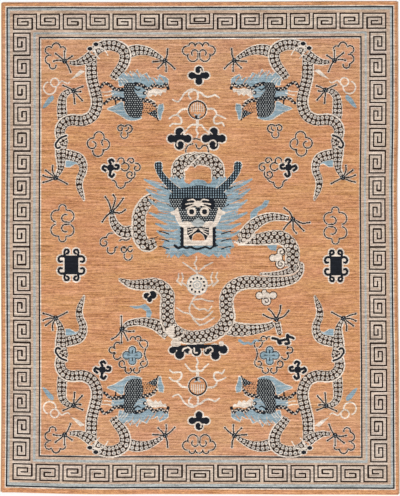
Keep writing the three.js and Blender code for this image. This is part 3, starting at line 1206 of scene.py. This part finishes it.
def mesh_object(name, points, faces, material):
    """A smooth-shaded mesh in the scene."""
    mesh = bpy.data.meshes.new(name)
    mesh.from_pydata(points, [], faces)
    mesh.materials.append(material)
    mesh.polygons.foreach_set("use_smooth", np.ones(len(mesh.polygons), bool))
    mesh.update()
    made = bpy.data.objects.new(name, mesh)
    bpy.context.scene.collection.objects.link(made)
    return made


def quads(low, high):
    """The faces between two rings of points, given by their numbers."""
    return np.stack([low, np.roll(low, -1), np.roll(high, -1), high], axis=1)


def tube_faces(count, sides):
    """The faces of a closed tube of rings of points, with both of its end caps."""
    rings = np.arange(count * sides).reshape(count, sides)
    walls = np.vstack([quads(low, high) for low, high in zip(rings, rings[1:])])
    return [*walls.tolist(), rings[0, ::-1].tolist(), rings[-1].tolist()]


def packed_cells(knots):
    """The chart cut into cells. Each row of knots in a cell becomes one number whose base-8
    digits are the knots' colours, so a face holds its cell in one vector."""
    used = knots[FIRST_ROW : ROWS - FIRST_ROW, FIRST_COLUMN : COLUMNS - FIRST_COLUMN]
    high, wide = used.shape[0] // CELL_ROWS, used.shape[1] // CELL_COLUMNS
    cells = used.reshape(high, CELL_ROWS, wide, CELL_COLUMNS).astype(float)
    digits = COLOURS ** np.arange(CELL_COLUMNS)
    return (cells * digits).sum(axis=3).transpose(0, 2, 1).reshape(-1, CELL_ROWS)


def skirt(x, y, points, side_section, end_section):
    """Rings of points that lead from a sheet's border along the edge sections. Gives each ring's
    places on the chart and its points."""
    on_side = np.abs(x) > np.abs(x).max() - KNOT / 2
    on_end = np.abs(y) > np.abs(y).max() - KNOT / 2
    for (side_in, side_up), (end_in, end_up) in zip(side_section, end_section):
        step_x = on_side * np.sign(x) * (FIRST_COLUMN * KNOT - side_in / 1000)
        step_y = on_end * np.sign(y) * (FIRST_ROW * KNOT - end_in / 1000)
        up = (on_side * side_up + on_end * end_up) / (on_side * 1.0 + on_end) / 1000
        charted = np.column_stack([x + step_x, y + step_y])
        yield charted, np.column_stack([points[:, 0] + step_x, points[:, 1] + step_y, up])


def add_maps(piece, knots, corner_numbers, cell_count, charted, cell_corners):
    """Writes the chart's cells on a sheet's faces, with a map of each cell and one of the chart."""
    face_count = len(corner_numbers)
    codes = np.zeros((face_count, CELL_ROWS))
    codes[:cell_count] = packed_cells(knots)
    attribute = piece.data.attributes.new("knots", "FLOAT_VECTOR", "FACE")
    attribute.data.foreach_set("vector", codes.ravel())
    cell_map = piece.data.uv_layers.new(name="cell")
    cell_map.data.foreach_set("uv", np.tile(cell_corners, (face_count, 1)).ravel())
    chart_map = piece.data.uv_layers.new(name="OFBake")
    shares = charted[corner_numbers.ravel()] / (CHART_WIDTH, CHART_LENGTH) + 0.5
    chart_map.data.foreach_set("uv", shares.ravel())


def cloth_piece(name, knots, height, wave, side_section, end_section, upward, material):
    """A sheet of cells with a skirt round it that follows the edge sections."""
    columns = np.arange(FIRST_COLUMN, COLUMNS - FIRST_COLUMN + 1, CELL_COLUMNS)
    rows = np.arange(FIRST_ROW, ROWS - FIRST_ROW + 1, CELL_ROWS)
    x, y = np.meshgrid((columns - COLUMNS / 2) * KNOT, (rows - ROWS / 2) * KNOT)
    z = height + unevenness(x, y, wave) * (np.abs(x) < CHART_WIDTH / 2 - LEVEL_EDGE)
    points = [np.column_stack([place.ravel() for place in (*laid(x, y), z)])]
    charted = [np.column_stack([x.ravel(), y.ravel()])]

    index = np.arange(x.size).reshape(x.shape)
    corners = [index[:-1, :-1], index[:-1, 1:], index[1:, 1:], index[1:, :-1]]
    cells = np.stack([corner.ravel() for corner in corners], axis=1)
    faces = [cells]
    border = np.concatenate([index[0, :-1], index[:-1, -1], index[-1, :0:-1], index[:0:-1, 0]])
    inner = border
    outer = x.size + np.arange(len(border))
    edge = (x.ravel()[border], y.ravel()[border], points[0][border])
    for ring_charted, ring_points in skirt(*edge, side_section, end_section):
        charted.append(ring_charted)
        points.append(ring_points)
        faces.append(quads(inner, outer)[:, [0, 3, 2, 1]])
        inner = outer
        outer = outer + len(border)

    faces = np.vstack(faces)
    cell_corners = np.array(box(0, 0, 1, 1), float)
    if not upward:
        faces = faces[:, ::-1]
        cell_corners = cell_corners[::-1]
    piece = mesh_object(name, np.vstack(points).tolist(), faces.tolist(), material)
    add_maps(piece, knots, faces, len(cells), np.vstack(charted), cell_corners)
    return piece


def selvedge(name, end, material):
    """The wool wound round the outermost warps of one long side, one ridge for each turn."""
    low = np.interp(end * CHART_WIDTH / 2, *FRONT) + END_GAP
    high = np.interp(end * CHART_WIDTH / 2, *BACK) - END_GAP
    count = int((high - low) / WRAP_PITCH) * RINGS_PER_WRAP
    y = np.linspace(low, high, count)
    turn = np.arange(count) / RINGS_PER_WRAP
    turns = count // RINGS_PER_WRAP + 2
    rng = np.random.default_rng(11 if end < 0 else 12)
    thick = np.interp(turn, np.arange(turns), rng.normal(1, 0.05, turns))
    ridge = WRAP_RIDGE * (np.abs(np.cos(math.pi * turn)) * np.minimum(thick, 1) - 1)
    taper = np.clip(np.minimum(y - low, high - y) / END_TAPER, 0, 1) ** 0.5
    centre = np.interp(y, *(LEFT if end < 0 else RIGHT)) - end * SELVEDGE_WIDTH / 2

    angle = 2 * math.pi * np.arange(SELVEDGE_SIDES) / SELVEDGE_SIDES
    half_wide = (SELVEDGE_WIDTH / 2 + ridge) * taper
    half_high = (SELVEDGE_HEIGHT / 2 + ridge) * taper
    ring_x = centre[:, None] + half_wide[:, None] * np.cos(angle)
    ring_y = y[:, None] + WRAP_SLANT * np.cos(angle) * taper[:, None]
    ring_z = SELVEDGE_HEIGHT / 2 + half_high[:, None] * np.sin(angle)
    points = np.stack([ring_x, ring_y, ring_z], axis=2).reshape(-1, 3)
    faces = [face[::-1] for face in tube_faces(count, SELVEDGE_SIDES)]
    return mesh_object(name, points.tolist(), faces, material)


def stitch(x, edge, end):
    """The points of one whip stitch, a thin thread that leans over the hem's inner edge."""
    share = np.linspace(0, 1, STITCH_STATIONS)[:, None]
    angle = 2 * math.pi * np.arange(THREAD_SIDES) / THREAD_SIDES
    lift = THREAD_RADIUS * (2.2 - np.sin(math.pi * share))
    ring_x = x + STITCH_REACH * (share - 0.5) + THREAD_RADIUS * np.cos(angle)
    ring_y = edge + end * STITCH_REACH * (0.6 - share) + 0 * angle
    return np.stack([ring_x, ring_y, lift + THREAD_RADIUS * np.sin(angle)], axis=2).reshape(-1, 3)


def hem(name, end, material):
    """The foundation turned under at one end, a thin strip with whip stitches over its edge."""
    half = CHART_WIDTH / 2 - HEM_SIDE_GAP
    x = np.linspace(-half, half, HEM_STATIONS)
    fold = np.interp(x, *(FRONT if end < 0 else BACK)) - end * FOLD_INSET
    wander = 1 + (0.0012 * np.sin(x * 23) + 0.0008 * np.sin(x * 61 + 1)) / HEM_WIDTH
    inward, up = np.array(HEM_SECTION).T
    ring_y = fold[:, None] - end * wander[:, None] * inward
    ring = np.broadcast_arrays(x[:, None], ring_y, up)
    points = [np.stack(ring, axis=2).reshape(-1, 3)]
    faces = tube_faces(HEM_STATIONS, len(HEM_SECTION))
    stitch_faces = tube_faces(STITCH_STATIONS, THREAD_SIDES)
    base = len(points[0])
    for place in np.arange(-half + STITCH_PITCH, half - STITCH_PITCH, STITCH_PITCH):
        points.append(stitch(place, np.interp(place, x, fold) - end * HEM_WIDTH, end))
        faces += [[base + number for number in face] for face in stitch_faces]
        base += len(points[-1])
    return mesh_object(name, np.vstack(points).tolist(), faces, material)


# Materials

def linear(colour):
    """An 8-bit colour as the shader's linear one."""
    values = []
    for value in colour:
        share = value / 255
        values.append(share / 12.92 if share <= 0.04045 else ((share + 0.055) / 1.055) ** 2.4)
    return (*[value / LIGHT_LEVEL for value in values], 1)


class Wire:
    """A value inside a material. Arithmetic with it adds the nodes that work out the result."""

    def __init__(self, shader, socket):
        self.shader = shader
        self.socket = socket

    def __add__(self, other):
        return self.shader.maths("ADD", self, other)

    def __sub__(self, other):
        return self.shader.maths("SUBTRACT", self, other)

    def __mul__(self, other):
        return self.shader.maths("MULTIPLY", self, other)

    def __truediv__(self, other):
        return self.shader.maths("DIVIDE", self, other)

    def __abs__(self):
        return self.shader.maths("ABSOLUTE", self)

    def floor(self):
        return self.shader.maths("FLOOR", self)

    def sine(self):
        return self.shader.maths("SINE", self)

    def swing(self, amount):
        """This noise, centred on nought and scaled."""
        return (self - 0.5) * amount


class Shader:
    """A material's nodes, added and linked one after another."""

    def __init__(self, name):
        self.material = bpy.data.materials.new(name)
        self.material.use_nodes = True
        self.tree = self.material.node_tree
        self.surface = self.tree.nodes["Principled BSDF"]

    def feed(self, socket, value):
        """Links a wire to an input, or sets the input to a plain value."""
        if isinstance(value, Wire):
            self.tree.links.new(value.socket, socket)
        else:
            socket.default_value = value

    def node(self, kind, inputs=(), **settings):
        """Adds a node, with its inputs given by name or number."""
        made = self.tree.nodes.new(kind)
        for name, value in settings.items():
            setattr(made, name, value)
        for place, value in dict(inputs).items():
            self.feed(made.inputs[place], value)
        return made

    def add(self, output, kind, inputs=(), **settings):
        """Adds a node and gives the wire from one of its outputs."""
        return Wire(self, self.node(kind, inputs, **settings).outputs[output])

    def maths(self, operation, *values):
        """One step of arithmetic on wires or numbers."""
        return self.add(0, "ShaderNodeMath", enumerate(values), operation=operation)

    def parts(self, vector):
        """A vector's three parts."""
        made = self.node("ShaderNodeSeparateXYZ", {0: vector})
        return [Wire(self, output) for output in made.outputs]

    def vector(self, x, y):
        """A vector with no third part."""
        return self.add(0, "ShaderNodeCombineXYZ", {0: x, 1: y})

    def place(self):
        """Where a point lies on its object, in metres."""
        return self.add("Object", "ShaderNodeTexCoord")

    def noise(self, vector, scale, detail):
        """Cloudy noise between nought and one."""
        inputs = {"Vector": vector, "Scale": scale, "Detail": detail}
        return self.add("Fac", "ShaderNodeTexNoise", inputs)

    def mixed(self, share, first, second):
        """Two colours mixed."""
        made = self.node("ShaderNodeMix", data_type="RGBA", blend_type="MIX")
        for place, value in (("Factor", share), (6, first), (7, second)):
            self.feed(made.inputs[place], value)
        return Wire(self, made.outputs[2])

    def tinted(self, colour, **changes):
        """A colour with its hue, saturation or value changed."""
        inputs = {"Color": colour, **{name.title(): value for name, value in changes.items()}}
        return self.add("Color", "ShaderNodeHueSaturation", inputs)

    def wool_finish(self, colour, height, strength, distance):
        """Links colour and bump, and sets the dull soft finish of wool."""
        bump = {"Height": height, "Strength": strength, "Distance": distance}
        finish = {
            "Base Color": colour, "Roughness": 0.95, "Specular IOR Level": 0.15, "Sheen Weight": 0.12,
            "Sheen Roughness": 0.5, "Normal": self.add("Normal", "ShaderNodeBump", bump),
        }
        for name, value in finish.items():
            self.feed(self.surface.inputs[name], value)
        return self.material


def knot_colour(shader):
    """The colour of the knot under each point, unpacked from its face's cell."""
    across, up, _ = shader.parts(shader.add("UV", "ShaderNodeUVMap", uv_map="cell"))
    column = shader.maths("MINIMUM", (across * CELL_COLUMNS).floor(), CELL_COLUMNS - 1)
    row = shader.maths("MINIMUM", (up * CELL_ROWS).floor(), CELL_ROWS - 1)
    kept = {"attribute_name": "knots", "attribute_type": "GEOMETRY"}
    codes = shader.parts(shader.add("Vector", "ShaderNodeAttribute", **kept))
    first, second, third = (
        shader.maths("COMPARE", row, i, 0.5) * codes[i] for i in range(CELL_ROWS)
    )
    unit = shader.maths("ROUND", shader.maths("POWER", COLOURS, column))
    digit = shader.maths("MODULO", ((first + second + third) / unit).floor(), COLOURS)
    ramp = shader.node("ShaderNodeValToRGB", {"Fac": (digit + 0.5) / COLOURS})
    ramp.color_ramp.interpolation = "CONSTANT"
    stops = ramp.color_ramp.elements
    while len(stops) < COLOURS:
        stops.new(0.5)
    for i, wool in enumerate(WOOLS.values()):
        stops[i].position = i / COLOURS
        stops[i].color = linear(wool)
    return Wire(shader, ramp.outputs["Color"])


def dye_noise(shader, column, row, marks):
    """Noise on the chart, with a number of marks to a knot across and to a row along."""
    across, along = marks
    return shader.noise(shader.vector(column * across, row * along), 1.0, 2.0)


def paler_ends(shader, along):
    """How much paler the field's dye lot is towards both ends of the carpet."""
    ends = abs(along - 0.5) * 2
    rise = shader.maths("MINIMUM", ends - 0.5, 0.3)
    fall = (ends - 0.9) * -8
    return shader.maths("MAXIMUM", shader.maths("MINIMUM", rise, fall), 0) * PALER_DEPTH


def wool_cloth(name, fade, strength):
    """Knotted wool: the chart's colours, streaks of uneven dye along the rows, and the knots'
    own small mounds. Fade mixes in the cotton that shows between the knots on the back."""
    shader = Shader(name)
    across, along, _ = shader.parts(shader.add("UV", "ShaderNodeUVMap", uv_map="OFBake"))
    column = across * COLUMNS
    row = along * ROWS
    knot_row = row.floor()
    knot = {"Vector": shader.vector(column.floor(), knot_row)}

    # each knot, dashes of a few knots, whole streaks, the broad bands of one dye lot, and fibres
    grain = shader.add("Value", "ShaderNodeTexWhiteNoise", knot, noise_dimensions="2D")
    dashes = dye_noise(shader, column, knot_row, DASHES)
    streaks = dye_noise(shader, column, knot_row, STREAKS)
    lots = dye_noise(shader, column, knot_row, LOTS)
    fibres = shader.noise(shader.place(), FIBRE_SCALE, 4.0)

    # the marks fade out where the cloth turns down at its edges
    tilt = shader.parts(shader.add("Normal", "ShaderNodeNewGeometry"))[2]
    level = tilt * tilt
    marks = lots.swing(LOT_SWING) + grain.swing(KNOT_SWING)
    marks = marks + dashes.swing(DASH_SWING) + streaks.swing(STREAK_SWING)
    # painted light: the value falls from the front end to the back end; the marks and fibres are the
    # wool's own
    light = along * -PAINTED_LIGHT_FALL + PAINTED_LIGHT_AT_FRONT + marks * level + fibres.swing(FIBRE_SWING)
    hue = (lots + dashes) * HUE_SWING + HUE
    depth = streaks.swing(-STREAK_DEPTH) + 1.0 - paler_ends(shader, along)
    shade = shader.tinted(knot_colour(shader), hue=hue, saturation=depth, value=light)
    if fade:
        shade = shader.mixed(fade, shade, linear(WARP_COTTON))

    # each knot's round tuft, its own height, and the wool's fibres
    mound = abs((column * math.pi).sine()) * abs((row * math.pi).sine())
    height = shader.maths("POWER", mound, 0.6) * TUFT_HEIGHT + grain * KNOT_HEIGHT
    height = height + fibres * FIBRE_HEIGHT
    return shader.wool_finish(shade, height, strength, 0.0015)


def wrapped_wool(name):
    """The yarn of the selvedges, whose colour changes from one length of yarn to the next."""
    shader = Shader(name)
    place = shader.place()
    lengths = shader.noise(place, 9.0, 3.0)
    fine = shader.add(0, "ShaderNodeMapping", {"Vector": place, "Scale": (500, 1600, 500)})
    strands = shader.noise(fine, 1.0, 2.0)
    colour = shader.mixed(lengths, linear(YARN_DARK), linear(YARN_PALE))
    return shader.wool_finish(shader.tinted(colour, value=strands * 0.4 + 0.8), strands, 0.8, 0.001)


def plain_cotton(name):
    """The turned-under foundation: undyed cotton in plain weave."""
    shader = Shader(name)
    place = shader.place()
    x, y, _ = shader.parts(place)
    warps = (x * (2 * math.pi / WARP_PITCH)).sine()
    weave = warps * (y * (2 * math.pi / WEFT_PITCH)).sine()
    dirt = shader.noise(place, 14.0, 4.0)
    colour = shader.mixed(dirt, linear(COTTON_DARK), linear(COTTON_PALE))
    # The weave's value follows its own relief, lighter on the crossings and darker between the threads:
    # painted shade and painted highlight of the weave
    return shader.wool_finish(shader.tinted(colour, value=weave * 0.06 + 0.95), weave, 0.4, 0.0004)


# The room: camera, light and floor. The view is as high as the photo, at two knots to a pixel.

PHOTO_HEIGHT = 496
PIXEL = 2 * KNOT
CAMERA_HEIGHT = 8.0
CAMERA_REACH = 40
SENSOR = 36.0
SKY_STRENGTH = 0.62
WALL_STRENGTH = 1.3
SUN_STRENGTH = 1.75
SUN_SPREAD = 35
SUN_TILT = (28, -24, 0)
FLOOR_RADIUS = 60.0
FLOOR_GREY, FLOOR_WHITE = (0.93, 0.93, 0.93, 1), (0.95, 0.95, 0.95, 1)


def add_camera():
    """Looks straight down, with the view just longer than the carpet."""
    lens = bpy.data.cameras.new("camera")
    lens.sensor_width = SENSOR
    lens.lens = SENSOR * CAMERA_HEIGHT / (PHOTO_HEIGHT * PIXEL)
    lens.clip_end = CAMERA_REACH
    made = bpy.data.objects.new("camera", lens)
    made.location = (0, 0, PILE_TOP + CAMERA_HEIGHT)
    bpy.context.scene.collection.objects.link(made)
    bpy.context.scene.camera = made


def add_sky():
    """An even white sky, which the camera sees as a wall as white as the floor."""
    world = bpy.data.worlds.new("studio")
    world.use_nodes = True
    nodes = world.node_tree.nodes
    links = world.node_tree.links
    sky = nodes["Background"]
    sky.inputs["Color"].default_value = (1, 1, 1, 1)
    sky.inputs["Strength"].default_value = SKY_STRENGTH
    wall = nodes.new("ShaderNodeBackground")
    wall.inputs["Strength"].default_value = WALL_STRENGTH
    seen = nodes.new("ShaderNodeLightPath")
    either = nodes.new("ShaderNodeMixShader")
    sources = (seen.outputs["Is Camera Ray"], sky.outputs[0], wall.outputs[0])
    for source, socket in zip(sources, either.inputs):
        links.new(source, socket)
    links.new(either.outputs[0], nodes["World Output"].inputs["Surface"])
    bpy.context.scene.world = world


def add_sun():
    """One broad soft sun from the upper left."""
    sun = bpy.data.lights.new("soft_sun", "SUN")
    sun.energy = SUN_STRENGTH
    sun.angle = math.radians(SUN_SPREAD)
    made = bpy.data.objects.new("soft_sun", sun)
    made.rotation_euler = [math.radians(tilt) for tilt in SUN_TILT]
    bpy.context.scene.collection.objects.link(made)


def add_floor():
    """A plain pale floor."""
    shader = Shader("pale_floor")
    cloudy = shader.noise(shader.place(), 1.5, 2.0)
    shader.feed(shader.surface.inputs["Base Color"], shader.mixed(cloudy, FLOOR_GREY, FLOOR_WHITE))
    shader.feed(shader.surface.inputs["Roughness"], 0.9)
    rim = [(x, y, 0) for x, y in arc((0, 0), FLOOR_RADIUS, 0, 354, step=6.0)]
    made = mesh_object("floor", rim, [tuple(range(len(rim)))], shader.material)


def add_carpet():
    """The carpet's pieces: pile, back, two selvedges and two hems."""
    knots = make_chart()
    pile_wool = wool_cloth("pile_wool", 0.0, 0.7)
    back_wool = wool_cloth("back_wool", 0.3, 0.5)
    pile = cloth_piece(
        "carpet_pile", knots, PILE_TOP, PILE_WAVE, SIDE_SECTION, END_SECTION, True, pile_wool
    )
    back = cloth_piece("carpet_back", knots, BACK_HEIGHT, 0.0, SIDE_BACK, END_BACK, False, back_wool)
    yarn = wrapped_wool("selvedge_wool")
    cotton = plain_cotton("hem_cotton")
    trim = [
        selvedge("selvedge_left", -1, yarn), selvedge("selvedge_right", 1, yarn),
        hem("hem_front", -1, cotton), hem("hem_back", 1, cotton),
    ]
    for piece in (pile, back, *trim):
        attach(piece, "root")
    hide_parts("carpet")


bpy.context.scene.view_settings.view_transform = "Standard"
add_camera()
add_sky()
add_sun()
add_floor()
add_carpet()
